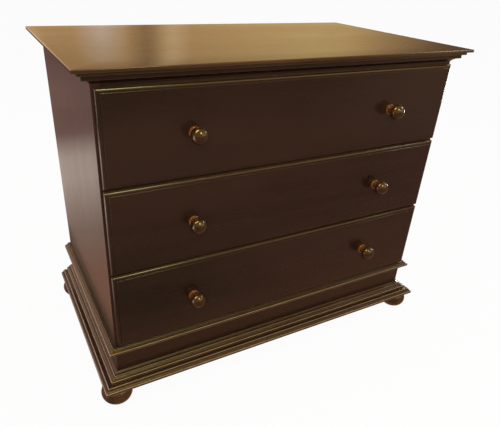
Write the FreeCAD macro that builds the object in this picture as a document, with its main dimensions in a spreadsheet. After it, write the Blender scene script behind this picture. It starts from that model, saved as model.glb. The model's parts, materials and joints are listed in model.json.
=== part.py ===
"""Three-drawer chest of drawers on bun feet, in millimetres.

+X runs across the front, -Y is the front and +Z is up. The origin is on the floor, under the middle
of the whole piece, knobs included.
"""

import FreeCAD, Part
import math
import os
import Sketcher

# Driving sizes: name, millimetres or count, meaning.
SIZES = [
    ("case_width", 848, "outside width over the two side panels"),
    ("case_depth", 482, "front edge of the side panels to the back"),
    ("side_thickness", 18, "side panels"),
    ("back_thickness", 6, "back panel"),
    ("back_recess", 3, "back panel set in from the back edge of the sides"),
    ("back_rabbet_width", 9, "rabbet in each side for the back panel"),
    ("bottom_thickness", 6, "case bottom"),
    ("top_thickness", 12.8, "top board"),
    ("top_overhang", 33, "top board beyond the case at the front and the ends"),
    ("top_edge_height", 6, "square upper edge of the top board"),
    ("top_edge_step", 10, "lower edge of the top board set back"),
    ("top_edge_round", 1.6, "softened upper arris of the top board"),
    ("cornice_height", 16.6, "moulding under the top"),
    ("cornice_reach", 16.2, "how far it stands out from the case"),
    ("cornice_cove_height", 8, "hollow under its fascia"),
    ("cornice_foot", 1, "square foot of the hollow"),
    ("cornice_gap", 5.5, "between the cornice and the top drawer front"),
    ("waist_height", 12.5, "moulding under the bottom drawer"),
    ("waist_reach", 16.8, "how far it stands out from the case"),
    ("waist_nose", 5.5, "its square nose"),
    ("waist_shelf", 7.5, "its upper fillet stands out"),
    ("waist_fillet", 1.5, "height of its upper fillet"),
    ("waist_hollow", 19, "radius of its hollow slope"),
    ("waist_gap", 2.5, "between it and the bottom drawer front"),
    ("waist_drop", 2.2, "how far it hangs below the joint of case and plinth"),
    ("plinth_height", 80, "plinth boards, base frame to case"),
    ("plinth_thickness", 20, "plinth boards"),
    ("cap_height", 17.5, "moulding on the base frame"),
    ("cap_reach", 20, "how far it stands out from the plinth"),
    ("cap_nose", 5.8, "its square nose"),
    ("cap_shelf", 10, "its middle arris stands out"),
    ("cap_hollow", 16, "radius of its hollow slope, nose to middle arris"),
    ("cap_cove_height", 4.8, "its hollow against the plinth"),
    ("cap_foot", 1.5, "square head of the hollow"),
    ("frame_thickness", 14.5, "base frame boards"),
    ("frame_width", 80, "base frame boards"),
    ("frame_reach", 37.5, "base frame beyond the plinth"),
    ("frame_nose", 6.5, "square nose of the base frame"),
    ("frame_hollow", 14, "radius of the hollow slope above the nose"),
    ("block_size", 45, "glue blocks in the plinth corners, each way"),
    ("foot_height", 50, "floor to base frame"),
    ("foot_radius", 35.5, "widest radius of the bun"),
    ("foot_neck_radius", 20, "neck above the bun"),
    ("foot_neck_height", 4, "neck above the bun"),
    ("foot_inset", 32, "foot axes in from the ends of the base frame"),
    ("foot_front_inset", 38, "front foot axes in from the front of the base frame"),
    ("foot_back_inset", 36, "rear foot axes in from the back"),
    ("tenon_radius", 11, "round tenon of the foot"),
    ("tenon_length", 10, "round tenon of the foot"),
    ("tenon_play", 0.3, "tenon in its bored hole, on the diameter and at the end"),
    ("drawer_gap", 5, "between drawer fronts"),
    ("lip_overlap", 7.5, "drawer lip over the rails"),
    ("lip_inset", 4, "drawer lip in from the outside of the case"),
    ("lip_thickness", 12.5, "drawer front outside the case"),
    ("lip_clearance", 0.8, "drawer lip to the case"),
    ("lip_border", 8.5, "width of the thumbnail edge"),
    ("lip_round", 6, "radius of the thumbnail edge"),
    ("lip_step", 1.8, "step from the thumbnail edge up to the field"),
    ("tongue_thickness", 7.5, "drawer front inside the case"),
    ("tongue_play", 1.5, "above and below the drawer front inside the case"),
    ("rail_depth", 60, "rails, front to back"),
    ("runner_width", 20, "runners and kickers"),
    ("runner_clearance", 0.3, "drawer sides above the runners"),
    ("stop_width", 50, "drawer stops"),
    ("stop_depth", 15, "drawer stops"),
    ("stop_drop", 16, "how far the drawer stops hang below the rails"),
    ("box_play", 1.2, "drawer box to each side panel"),
    ("box_rear_room", 33.8, "drawer box to the back panel"),
    ("box_height", 161.2, "drawer sides"),
    ("box_head_room", 6.2, "drawer sides to the rail above"),
    ("box_side", 12, "drawer sides"),
    ("box_back", 12, "drawer backs"),
    ("box_bottom", 6, "drawer bottoms"),
    ("groove_depth", 6, "grooves for the drawer bottoms"),
    ("groove_height", 10, "grooves above the lower edge of the drawer sides"),
    ("groove_play", 0.2, "drawer bottoms in their grooves"),
    ("tail_end", 26, "dovetails at their wide end"),
    ("tail_root", 22, "dovetails at their shoulder"),
    ("knob_spacing", 487, "between the two knobs of a drawer"),
    ("knob_projection", 40, "knobs in front of the drawer fronts"),
    ("knob_radius", 17.4, "heads of the knobs"),
    ("knob_rim", 24.5, "widest place of the head in front of the drawer front"),
    ("knob_shoulder", 7, "round of the head at its widest place"),
    ("knob_neck_radius", 7.6, "thinnest place of the knobs"),
    ("knob_throat_radius", 10.5, "neck where it meets the head"),
    ("knob_throat", 15.5, "that place in front of the drawer front"),
    ("knob_base_radius", 12, "collar on the drawer front"),
    ("knob_base_edge", 1.8, "square edge of the collar"),
    ("knob_bead", 2.6, "round on the collar"),
    ("screw_radius", 2, "screws of the knobs"),
    ("screw_play", 0.1, "screws in their holes, on the radius"),
    ("screw_grip", 14, "screws inside the knobs"),
    ("screw_head_radius", 4.2, "heads of the knob screws"),
    ("screw_head_height", 2.6, "heads of the knob screws"),
    ("back_screw_radius", 1.6, "screws of the back panel"),
    ("back_screw_length", 16, "screws of the back panel, under the head"),
    ("back_screw_head_radius", 3.4, "heads of the back screws"),
    ("back_screw_head_height", 2, "heads of the back screws"),
    ("back_screw_margin", 45, "first and last back screw to the ends of the panel"),
]
# Sizes that follow from the driving sizes, so that fitted pieces grow together: name, sum, meaning.
FITTED = [
    ("drawer_height", "box_height + box_head_room + runner_clearance + 2 * lip_overlap", "drawer fronts"),
    ("bottom_rail_height", "lip_overlap + waist_gap + waist_height - waist_drop - bottom_thickness",
     "rail and runners on the case bottom"),
    ("top_rail_height", "lip_overlap + cornice_gap + cornice_height", "rail and kickers under the top"),
    ("box_depth", "case_depth + lip_clearance - back_recess - back_thickness - box_rear_room",
     "drawer box behind the lip"),
    ("foot_bun_height", "foot_height - foot_neck_height", "bun without its neck"),
]
DRAWERS = 3
TAILS = 4
BACK_SCREWS = 5

doc = FreeCAD.newDocument("chest_of_drawers")
sheet = doc.addObject("Spreadsheet::Sheet", "size")
for row, (alias, number, meaning) in enumerate(SIZES, 1):
    sheet.set(f"A{row}", meaning)
    sheet.set(f"B{row}", str(number))
    sheet.setAlias(f"B{row}", alias)
doc.recompute()
for row, (alias, total, meaning) in enumerate(FITTED, len(SIZES) + 1):
    sheet.set(f"A{row}", meaning)
    sheet.set(f"B{row}", f"={total}")
    sheet.setAlias(f"B{row}", alias)
doc.recompute()

# Places that many pieces share, as expressions of the driving sizes.
HALF = "size.case_width / 2"
INNER = f"({HALF} - size.side_thickness)"
FRONT = "(size.knob_projection + size.lip_thickness + size.lip_clearance - size.case_depth) / 2"
BACK = f"({FRONT} + size.case_depth)"
PANEL = f"({BACK} - size.back_recess - size.back_thickness)"
FRAME_TOP = "(size.foot_height + size.frame_thickness)"
CASE_BOTTOM = f"({FRAME_TOP} + size.plinth_height)"
RAIL_HEIGHT = "(2 * size.lip_overlap + size.drawer_gap)"
OPENING = "(size.drawer_height - 2 * size.lip_overlap)"
LIP_BACK = f"({FRONT} - size.lip_clearance)"
BOX_HALF = f"({INNER} - size.box_play)"
BOX_INNER = f"({BOX_HALF} - size.box_side)"


def opening_floor(level):
    """Lower edge of drawer opening number level, counted from the bottom."""
    pitch = "(size.drawer_height + size.drawer_gap)"
    return f"({CASE_BOTTOM} + size.bottom_thickness + size.bottom_rail_height + {level} * {pitch})"


def rail_span(level):
    """Underside and height of the rail below that opening; the last one is under the top."""
    if level == 0:
        return f"({CASE_BOTTOM} + size.bottom_thickness)", "size.bottom_rail_height"
    height = "size.top_rail_height" if level == DRAWERS else RAIL_HEIGHT
    return f"({opening_floor(level)} - {RAIL_HEIGHT})", height


TOP_UNDER = "({} + {})".format(*rail_span(DRAWERS))

nodes = []


def value(expression):
    """The number that an expression of the driving sizes gives."""
    return float(sheet.evalExpression(expression))


def node(piece, label):
    """Names a finished sub-part and lists it for export."""
    piece.Label = label
    nodes.append(piece)
    return piece


def place(piece, x="0", y="0", z="0", axis=None, angle=0):
    """Puts a piece at a point given by expressions, turned about an axis."""
    if axis:
        piece.Placement = FreeCAD.Placement(FreeCAD.Vector(), FreeCAD.Rotation(axis, angle))
    for letter, expression in zip("xyz", (x, y, z)):
        piece.setExpression(f"Placement.Base.{letter}", expression)
    return piece


def board(name, low, size):
    """A square-edged board from its low corner and its three sizes, all expressions."""
    piece = doc.addObject("Part::Box", name)
    for side, expression in zip(("Length", "Width", "Height"), size):
        piece.setExpression(side, expression)
    return place(piece, *low)


def cut(name, base, *tools):
    """Takes each tool from the base in turn."""
    for number, tool in enumerate(tools, 1):
        piece = doc.addObject("Part::Cut", f"{name}_cut_{number}")
        piece.Base = base
        piece.Tool = tool
        base = piece
    return base


def group(name, pieces):
    """Several like pieces kept as one sub-part of separate solids."""
    compound = doc.addObject("Part::Compound", name)
    compound.Links = pieces
    return compound


def drill(name, radius, length, start, axis, angle):
    """A cylinder that bores a hole from a start point along a turned Z axis."""
    hole = doc.addObject("Part::Cylinder", name)
    hole.setExpression("Radius", radius)
    hole.setExpression("Height", length)
    return place(hole, *start, axis=axis, angle=angle)


def new_body(name):
    return doc.addObject("PartDesign::Body", name)


def origin_plane(body, role):
    return next(part for part in body.Origin.OriginFeatures if part.Role == role)


def arc_between(first, last, radius, turn):
    """The short arc from one point to another; turn is 1 for anticlockwise and -1 for clockwise."""
    chord = last - first
    rise = math.sqrt(max(radius**2 - (chord.Length / 2) ** 2, 0))
    side = FreeCAD.Vector(-chord.y, chord.x, 0).normalize()
    centre = (first + last) / 2 + side * rise * turn
    start, end = (first, last) if turn > 0 else (last, first)
    angles = [math.atan2(point.y - centre.y, point.x - centre.x) for point in (start, end)]
    return Part.ArcOfCircle(Part.Circle(centre, FreeCAD.Vector(0, 0, 1), radius), *angles)


def outline(body, name, role, corners, arcs=None, lift="0"):
    """A closed sketch on an origin plane, through corners that are pairs of expressions.

    arcs gives the radius and the turn of each side that is round, by the number of its first corner.
    Every corner is held by its two distances from the origin and every arc by its radius.
    """
    arcs = arcs or {}
    sketch = body.newObject("Sketcher::SketchObject", name)
    sketch.AttachmentSupport = (origin_plane(body, role), [""])
    sketch.MapMode = "FlatFace"
    sketch.setExpression("AttachmentOffset.Base.z", lift)
    points = [FreeCAD.Vector(value(u), value(v), 0) for u, v in corners]
    ends = []
    for number, first in enumerate(points):
        last = points[(number + 1) % len(points)]
        if number in arcs:
            radius, turn = arcs[number]
            sketch.addGeometry(arc_between(first, last, value(radius), turn))
            ends.append((1, 2) if turn > 0 else (2, 1))
        else:
            sketch.addGeometry(Part.LineSegment(first, last))
            ends.append((1, 2))
    for number in range(len(points)):
        following = (number + 1) % len(points)
        joint = (number, ends[number][1], following, ends[following][0])
        sketch.addConstraint(Sketcher.Constraint("Coincident", *joint))
    for number, corner in enumerate(corners):
        for kind, zero_line, expression in zip(("DistanceX", "DistanceY"), (-2, -1), corner):
            spot = (number, ends[number][0])
            if expression == "0":
                sketch.addConstraint(Sketcher.Constraint("PointOnObject", *spot, zero_line))
                continue
            number_now = value(expression)
            pair = (-1, 1, *spot) if number_now > 0 else (*spot, -1, 1)
            sign = "" if number_now > 0 else "-"
            index = sketch.addConstraint(Sketcher.Constraint(kind, *pair, abs(number_now)))
            sketch.setExpression(f"Constraints[{index}]", f"{sign}({expression})")
    for number, (radius, turn) in arcs.items():
        index = sketch.addConstraint(Sketcher.Constraint("Radius", number, value(radius)))
        sketch.setExpression(f"Constraints[{index}]", radius)
    return sketch


def pad(body, sketch, length):
    feature = body.newObject("PartDesign::Pad", f"{sketch.Name}_pad")
    feature.Profile = sketch
    feature.setExpression("Length", length)
    return feature


def pocket(body, sketch, depth, reverse):
    """Cuts a sketch into the body and makes sure that it took something away."""
    doc.recompute()
    before = body.Shape.Volume
    feature = body.newObject("PartDesign::Pocket", f"{sketch.Name}_pocket")
    feature.Profile = sketch
    feature.Reversed = reverse
    feature.setExpression("Length", depth)
    doc.recompute()
    if body.Shape.Volume >= before:
        raise ValueError(f"{feature.Name} cut nothing")
    return feature


def turned(name, corners, arcs):
    """A piece turned about its own Z axis, from a section of radius and height."""
    body = new_body(name)
    section = outline(body, f"{name}_section", "XZ_Plane", corners, arcs)
    feature = body.newObject("PartDesign::Revolution", f"{name}_turning")
    feature.Profile = section
    feature.ReferenceAxis = (section, ["V_Axis"])
    feature.Angle = 360
    return body


def flat_tangent(across, up):
    """Radius of an arc that spans across and up and starts or ends level."""
    return f"(({across})^2 + ({up})^2) / (2 * ({up}))"


def run(name, section, arcs, length, depth, height, low_mitre, high_mitre):
    """A straight length of moulding along its own X, mitred outwards at the ends asked for.

    The section lies in Y (outwards) and Z. The run goes from 0 to length at its inner edge.
    """
    body = new_body(name)
    start = f"-({depth})" if low_mitre else "0"
    mitres = low_mitre + high_mitre
    profile = outline(body, f"{name}_section", "YZ_Plane", section, arcs, lift=start)
    pad(body, profile, f"{length} + {mitres} * ({depth})")
    ends = []
    if low_mitre:
        ends.append(("low", "0", f"-({depth})"))
    if high_mitre:
        ends.append(("high", length, f"{length} + ({depth})"))
    for end, inner, outer in ends:
        corners = [(inner, "0"), (outer, "0"), (outer, depth)]
        mitre = outline(body, f"{name}_{end}_mitre", "XY_Plane", corners)
        pocket(body, mitre, height, reverse=True)
    return body


def three_runs(name, section, arcs, inset, depth, height, z):
    """The same moulding along the front and both ends of the case, mitred at the front corners.

    inset is how far its inner edge lies inside the faces of the case.
    """
    half = f"({HALF} - ({inset}))"
    along = f"(size.case_depth - ({inset}))"
    front = run(f"{name}_front", section, arcs, f"2 * {half}", depth, height, True, True)
    place(front, half, f"{FRONT} + ({inset})", z, FreeCAD.Vector(0, 0, 1), 180)
    left = run(f"{name}_left", section, arcs, along, depth, height, True, False)
    place(left, f"-{half}", f"{FRONT} + ({inset})", z, FreeCAD.Vector(0, 0, 1), 90)
    right = run(f"{name}_right", section, arcs, along, depth, height, False, True)
    place(right, half, BACK, z, FreeCAD.Vector(0, 0, 1), -90)
    return front, left, right


def make_case():
    """Side panels, back, bottom, rails, runners, kickers and drawer stops."""
    side_height = f"{TOP_UNDER} - {CASE_BOTTOM}"
    rabbet_depth = "size.back_recess + size.back_thickness"
    to_panel = f"{PANEL} - ({FRONT})"
    screws = []
    panel_holes = []
    for side, hand in (("left", -1), ("right", 1)):
        outer = f"-{HALF}" if hand < 0 else INNER
        panel = board(f"{side}_board", (outer, FRONT, CASE_BOTTOM),
                      ("size.side_thickness", "size.case_depth", side_height))
        rabbet_x = f"-{INNER} - size.back_rabbet_width" if hand < 0 else INNER
        rabbet = board(f"{side}_rabbet", (rabbet_x, PANEL, CASE_BOTTOM),
                       ("size.back_rabbet_width", rabbet_depth, side_height))
        screw_x = f"{hand} * ({INNER} + size.back_rabbet_width / 2)"
        pilots = []
        for number in range(BACK_SCREWS):
            span = f"({side_height} - 2 * size.back_screw_margin)"
            z = f"{CASE_BOTTOM} + size.back_screw_margin + {number} * {span} / {BACK_SCREWS - 1}"
            seat = f"{PANEL} + size.back_thickness"
            radius = "size.back_screw_radius + size.screw_play"
            depth = "size.back_screw_length + size.screw_play"
            hole = drill(f"{side}_pilot_{number}", radius, depth, (screw_x, seat, z),
                         FreeCAD.Vector(1, 0, 0), 90)
            pilots.append(hole)
            screw = pan_screw(f"{side}_back_screw_{number}", "size.back_screw_radius",
                              "size.back_screw_length", "size.back_screw_head_radius",
                              "size.back_screw_head_height")
            screws.append(place(screw, screw_x, seat, z, FreeCAD.Vector(1, 0, 0), -90))
        node(cut(f"{side}_side", panel, rabbet, *pilots), f"side_panel_{side}")
        panel_holes += pilots
    back_half = f"({INNER} + size.back_rabbet_width)"
    back = board("back_board", (f"-{back_half}", PANEL, CASE_BOTTOM),
                 (f"2 * {back_half}", "size.back_thickness", side_height))
    node(cut("back", back, *panel_holes), "back_panel")
    node(group("back_screw_set", screws), "back_screws")
    node(board("bottom", (f"-{INNER}", FRONT, CASE_BOTTOM),
               (f"2 * {INNER}", to_panel, "size.bottom_thickness")), "case_bottom")
    rails = ["bottom_rail", "drawer_rail_lower", "drawer_rail_upper", "top_rail"]
    runners = []
    stops = []
    for level, label in enumerate(rails):
        z, height = rail_span(level)
        node(board(f"{label}_board", (f"-{INNER}", FRONT, z),
                   (f"2 * {INNER}", "size.rail_depth", height)), label)
        for side, x in (("left", f"-{INNER}"), ("right", f"{INNER} - size.runner_width")):
            strip = board(f"strip_{side}_{level}", (x, f"{FRONT} + size.rail_depth", z),
                          ("size.runner_width", f"{to_panel} - size.rail_depth", height))
            runners.append(strip)
        if level:
            stop_y = f"{FRONT} + size.rail_depth - size.stop_depth"
            stops.append(board(f"stop_{level}", ("-size.stop_width / 2", stop_y, f"{z} - size.stop_drop"),
                               ("size.stop_width", "size.stop_depth", "size.stop_drop")))
    node(group("runner_set", runners[:-2]), "runners")
    node(group("kicker_set", runners[-2:]), "kickers")
    node(group("stop_set", stops), "drawer_stops")


def make_top():
    """The top board: a stepped section along X and one along Y, common to both, so the steps mitre."""
    depth = "(size.case_depth + size.top_overhang)"
    width = "(size.case_width + 2 * size.top_overhang)"
    step = "size.top_edge_step"
    low = "(size.top_thickness - size.top_edge_height)"
    soft = "size.top_edge_round"
    high = "size.top_thickness"
    along = new_body("top_along")
    corners = [("0", "0"), (f"{depth} - {step}", "0"), (f"{depth} - {step}", low), (depth, low),
               (depth, f"{high} - {soft}"), (f"{depth} - {soft}", high), ("0", high)]
    section = outline(along, "top_along_section", "YZ_Plane", corners, {4: (soft, 1)}, f"-{width} / 2")
    pad(along, section, width)
    place(along, "0", BACK, TOP_UNDER, FreeCAD.Vector(0, 0, 1), 180)
    across = new_body("top_across")
    edge = f"({width} / 2)"
    corners = [(f"-({edge} - {step})", "0"), (f"{edge} - {step}", "0"), (f"{edge} - {step}", low),
               (edge, low), (edge, f"{high} - {soft}"), (f"{edge} - {soft}", high),
               (f"-({edge} - {soft})", high), (f"-{edge}", f"{high} - {soft}"), (f"-{edge}", low),
               (f"-({edge} - {step})", low)]
    arcs = {4: (soft, 1), 6: (soft, 1)}
    section = outline(across, "top_across_section", "XZ_Plane", corners, arcs)
    pad(across, section, depth)
    place(across, "0", BACK, TOP_UNDER)
    both = doc.addObject("Part::Common", "top")
    both.Base = along
    both.Tool = across
    node(both, "top_board")


def make_mouldings():
    """Cornice, waist moulding, plinth and base cap: three mitred runs each."""
    reach = "size.cornice_reach"
    cove = "size.cornice_cove_height"
    section = [("0", "0"), ("size.cornice_foot", "0"), (reach, cove), (reach, "size.cornice_height"),
               ("0", "size.cornice_height")]
    arcs = {1: (flat_tangent(f"{reach} - size.cornice_foot", cove), -1)}
    for piece in three_runs("cornice", section, arcs, "0", reach, "size.cornice_height",
                            f"{TOP_UNDER} - size.cornice_height"):
        node(piece, piece.Name)

    reach = "size.waist_reach"
    rise = "size.waist_height - size.waist_fillet"
    section = [("0", "0"), (reach, "0"), (reach, "size.waist_nose"), ("size.waist_shelf", rise),
               ("size.waist_shelf", "size.waist_height"), ("0", "size.waist_height")]
    arcs = {2: ("size.waist_hollow", -1)}
    for piece in three_runs("waist", section, arcs, "0", reach, "size.waist_height",
                            f"{CASE_BOTTOM} - size.waist_drop"):
        node(piece, piece.Name.replace("waist", "waist_moulding"))

    reach = "size.plinth_thickness"
    section = [("0", "0"), (reach, "0"), (reach, "size.plinth_height"), ("0", "size.plinth_height")]
    for piece in three_runs("plinth", section, {}, reach, reach, "size.plinth_height", FRAME_TOP):
        node(piece, piece.Name)
    inner = f"({HALF} - {reach})"
    node(board("plinth_back_board", (f"-{inner}", f"{BACK} - {reach}", FRAME_TOP),
               (f"2 * {inner}", reach, "size.plinth_height")), "plinth_back")
    blocks = []
    for x in (f"-{inner}", f"{inner} - size.block_size"):
        for y in (f"{FRONT} + {reach}", f"{BACK} - {reach} - size.block_size"):
            blocks.append(board("block", (x, y, FRAME_TOP),
                                ("size.block_size", "size.block_size", "size.plinth_height")))
    node(group("block_set", blocks), "corner_blocks")

    reach = "size.cap_reach"
    rise = "size.cap_height - size.cap_cove_height"
    section = [("0", "0"), (reach, "0"), (reach, "size.cap_nose"), ("size.cap_shelf", rise),
               ("size.cap_foot", "size.cap_height"), ("0", "size.cap_height")]
    arcs = {2: ("size.cap_hollow", -1),
            3: (flat_tangent("size.cap_shelf - size.cap_foot", "size.cap_cove_height"), -1)}
    for piece in three_runs("base_cap", section, arcs, "0", reach, "size.cap_height", FRAME_TOP):
        node(piece, piece.Name)


def make_base():
    """Base frame with a moulded edge, bored for the tenons of the four bun feet."""
    feet = {}
    for end, y in (("front", f"{FRONT} - size.frame_reach + size.foot_front_inset"),
                   ("rear", f"{BACK} - size.foot_back_inset")):
        for side, sign in (("left", "-"), ("right", "")):
            x = f"{sign}({HALF} + size.frame_reach - size.foot_inset)"
            feet[end, side] = (x, y)
    width = "size.frame_width"
    height = "size.frame_thickness"
    edge = f"({height} - size.frame_nose)"
    section = [("0", "0"), (width, "0"), (width, "size.frame_nose"), (f"{width} - {edge}", height),
               ("0", height)]
    inset = f"({width} - size.frame_reach)"
    arcs = {2: ("size.frame_hollow", -1)}
    front, left, right = three_runs("frame", section, arcs, inset, width, height, "size.foot_height")
    holes = {}
    for (end, side), (x, y) in feet.items():
        radius = "size.tenon_radius + size.tenon_play / 2"
        depth = "size.tenon_length + size.tenon_play"
        holes[end, side] = drill(f"tenon_hole_{end}_{side}", radius, depth, (x, y, "size.foot_height"),
                                 None, 0)
        body = bun_foot(f"bun_{end}_{side}")
        node(place(body, x, y), f"foot_{end}_{side}")
    node(cut("front_frame", front, holes["front", "left"], holes["front", "right"]), "base_frame_front")
    node(cut("left_frame", left, holes["front", "left"], holes["rear", "left"]), "base_frame_left")
    node(cut("right_frame", right, holes["front", "right"], holes["rear", "right"]), "base_frame_right")
    inner = f"({HALF} - {inset})"
    node(board("frame_back_board", (f"-{inner}", f"{BACK} - {width}", "size.foot_height"),
               (f"2 * {inner}", width, height)), "base_frame_back")


def bun_foot(name):
    """A flattened ball with a flat sole, a short neck and a round tenon."""
    ball = "(size.foot_bun_height / 2)"
    sole = f"(size.foot_radius - {ball})"
    neck = "size.foot_neck_radius"
    neck_z = f"{ball} + sqrt({ball}^2 - ({neck} - {sole})^2)"
    top = "size.foot_height"
    tenon_z = f"{top} + size.tenon_length"
    corners = [("0", "0"), (sole, "0"), ("size.foot_radius", ball), (neck, neck_z), (neck, top),
               ("size.tenon_radius", top), ("size.tenon_radius", tenon_z), ("0", tenon_z)]
    return turned(name, corners, {1: (ball, 1), 2: (ball, 1)})


def knob(name):
    """A turned mushroom knob on a collar, bored for its screw."""
    bore = "(size.screw_radius + size.screw_play)"
    bore_z = "(size.screw_grip + size.screw_play)"
    bead = "size.knob_bead"
    collar_z = f"size.knob_base_edge + {bead}"
    collar = f"size.knob_base_radius - {bead}"
    neck_span = f"size.knob_throat - ({collar_z})"
    dome = "(size.knob_projection - size.knob_rim)"
    shoulder = "size.knob_shoulder"
    inner = f"(size.knob_radius - {shoulder})"
    crown = f"(({inner}^2 + {dome}^2 - {shoulder}^2) / (2 * ({dome} - {shoulder})))"
    meet = f"({crown} / ({crown} - {shoulder}))"
    meet_z = f"size.knob_projection - {crown} + ({crown} - {dome}) * {meet}"
    corners = [("0", bore_z), (bore, bore_z), (bore, "0"), ("size.knob_base_radius", "0"),
               ("size.knob_base_radius", "size.knob_base_edge"), (collar, collar_z),
               ("size.knob_neck_radius", collar_z), ("size.knob_throat_radius", "size.knob_throat"),
               ("size.knob_radius", "size.knob_rim"), (f"{inner} * {meet}", meet_z),
               ("0", "size.knob_projection")]
    flare = "size.knob_throat_radius - size.knob_neck_radius"
    under = "size.knob_radius - size.knob_throat_radius"
    arcs = {4: (bead, 1),
            6: (flat_tangent(neck_span, flare), -1),
            7: (flat_tangent(under, "size.knob_rim - size.knob_throat"), 1),
            8: (shoulder, 1),
            9: (crown, 1)}
    return turned(name, corners, arcs)


def pan_screw(name, radius, length, head_radius, head_height):
    """A round-headed screw: its shank runs down from 0 and its head stands above."""
    corners = [("0", f"-({length})"), (radius, f"-({length})"), (radius, "0"), (head_radius, "0"),
               ("0", head_height)]
    return turned(name, corners, {3: (flat_tangent(head_radius, head_height), 1)})


def drawer_side(name, mirrored):
    """A drawer side along its own X from the lip, dovetailed at both ends and grooved inside."""
    body = new_body(name)
    front = "size.tongue_thickness"
    end = "size.box_depth"
    shoulder = f"({end} - size.box_back)"
    back_z = "(size.groove_height + size.box_bottom + size.groove_play)"
    top = "size.box_height"
    corners = [(front, "0"), (end, "0"), (end, back_z), (shoulder, back_z)]
    for number in range(TAILS):
        middle = f"({back_z} + ({top} - {back_z}) * {2 * number + 1} / {2 * TAILS})"
        corners += [(shoulder, f"{middle} - size.tail_root / 2"), (end, f"{middle} - size.tail_end / 2"),
                    (end, f"{middle} + size.tail_end / 2"), (shoulder, f"{middle} + size.tail_root / 2")]
    corners += [(shoulder, top), (front, top)]
    for number in reversed(range(TAILS)):
        middle = f"({top} * {2 * number + 1} / {2 * TAILS})"
        corners += [(front, f"{middle} + size.tail_root / 2"), ("0", f"{middle} + size.tail_end / 2"),
                    ("0", f"{middle} - size.tail_end / 2"), (front, f"{middle} - size.tail_root / 2")]
    section = outline(body, f"{name}_outline", "XZ_Plane", corners)
    pad(body, section, "size.box_side")
    groove_top = "size.groove_height + size.box_bottom + size.groove_play"
    corners = [("0", "size.groove_height"), (end, "size.groove_height"), (end, groove_top), ("0", groove_top)]
    lift = "size.groove_depth" if mirrored else "size.box_side - size.groove_depth"
    groove = outline(body, f"{name}_groove", "XZ_Plane", corners, lift=lift)
    pocket(body, groove, "size.groove_depth", reverse=not mirrored)
    return body


def lipped_board(name):
    """The lip of a drawer front: two thumbnail sections crossed, so the moulded edge mitres."""
    deep = "size.lip_thickness"
    step = f"({deep} - size.lip_step)"
    edge = f"({step} - size.lip_round)"
    bodies = []
    width = "(size.case_width - 2 * size.lip_inset)"
    for way, role, long, other in (("up", "YZ_Plane", "size.drawer_height", width),
                                   ("across", "XY_Plane", width, "size.drawer_height")):
        body = new_body(f"{name}_{way}")
        near = [("0", "0"), (edge, "0"), (step, "size.lip_round"), (step, "size.lip_border"),
                (deep, "size.lip_border")]
        far = [(deep, f"{long} - size.lip_border"), (step, f"{long} - size.lip_border"),
               (step, f"{long} - size.lip_round"), (edge, long), ("0", long)]
        corners = near + far
        arcs = {1: ("size.lip_round", 1), 7: ("size.lip_round", 1)}
        if way == "across":
            corners = [(v, u) for u, v in corners]
            arcs = {side: (radius, -turn) for side, (radius, turn) in arcs.items()}
        section = outline(body, f"{name}_{way}_section", role, corners, arcs)
        pad(body, section, other)
        bodies.append(body)
    return bodies, width


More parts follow.
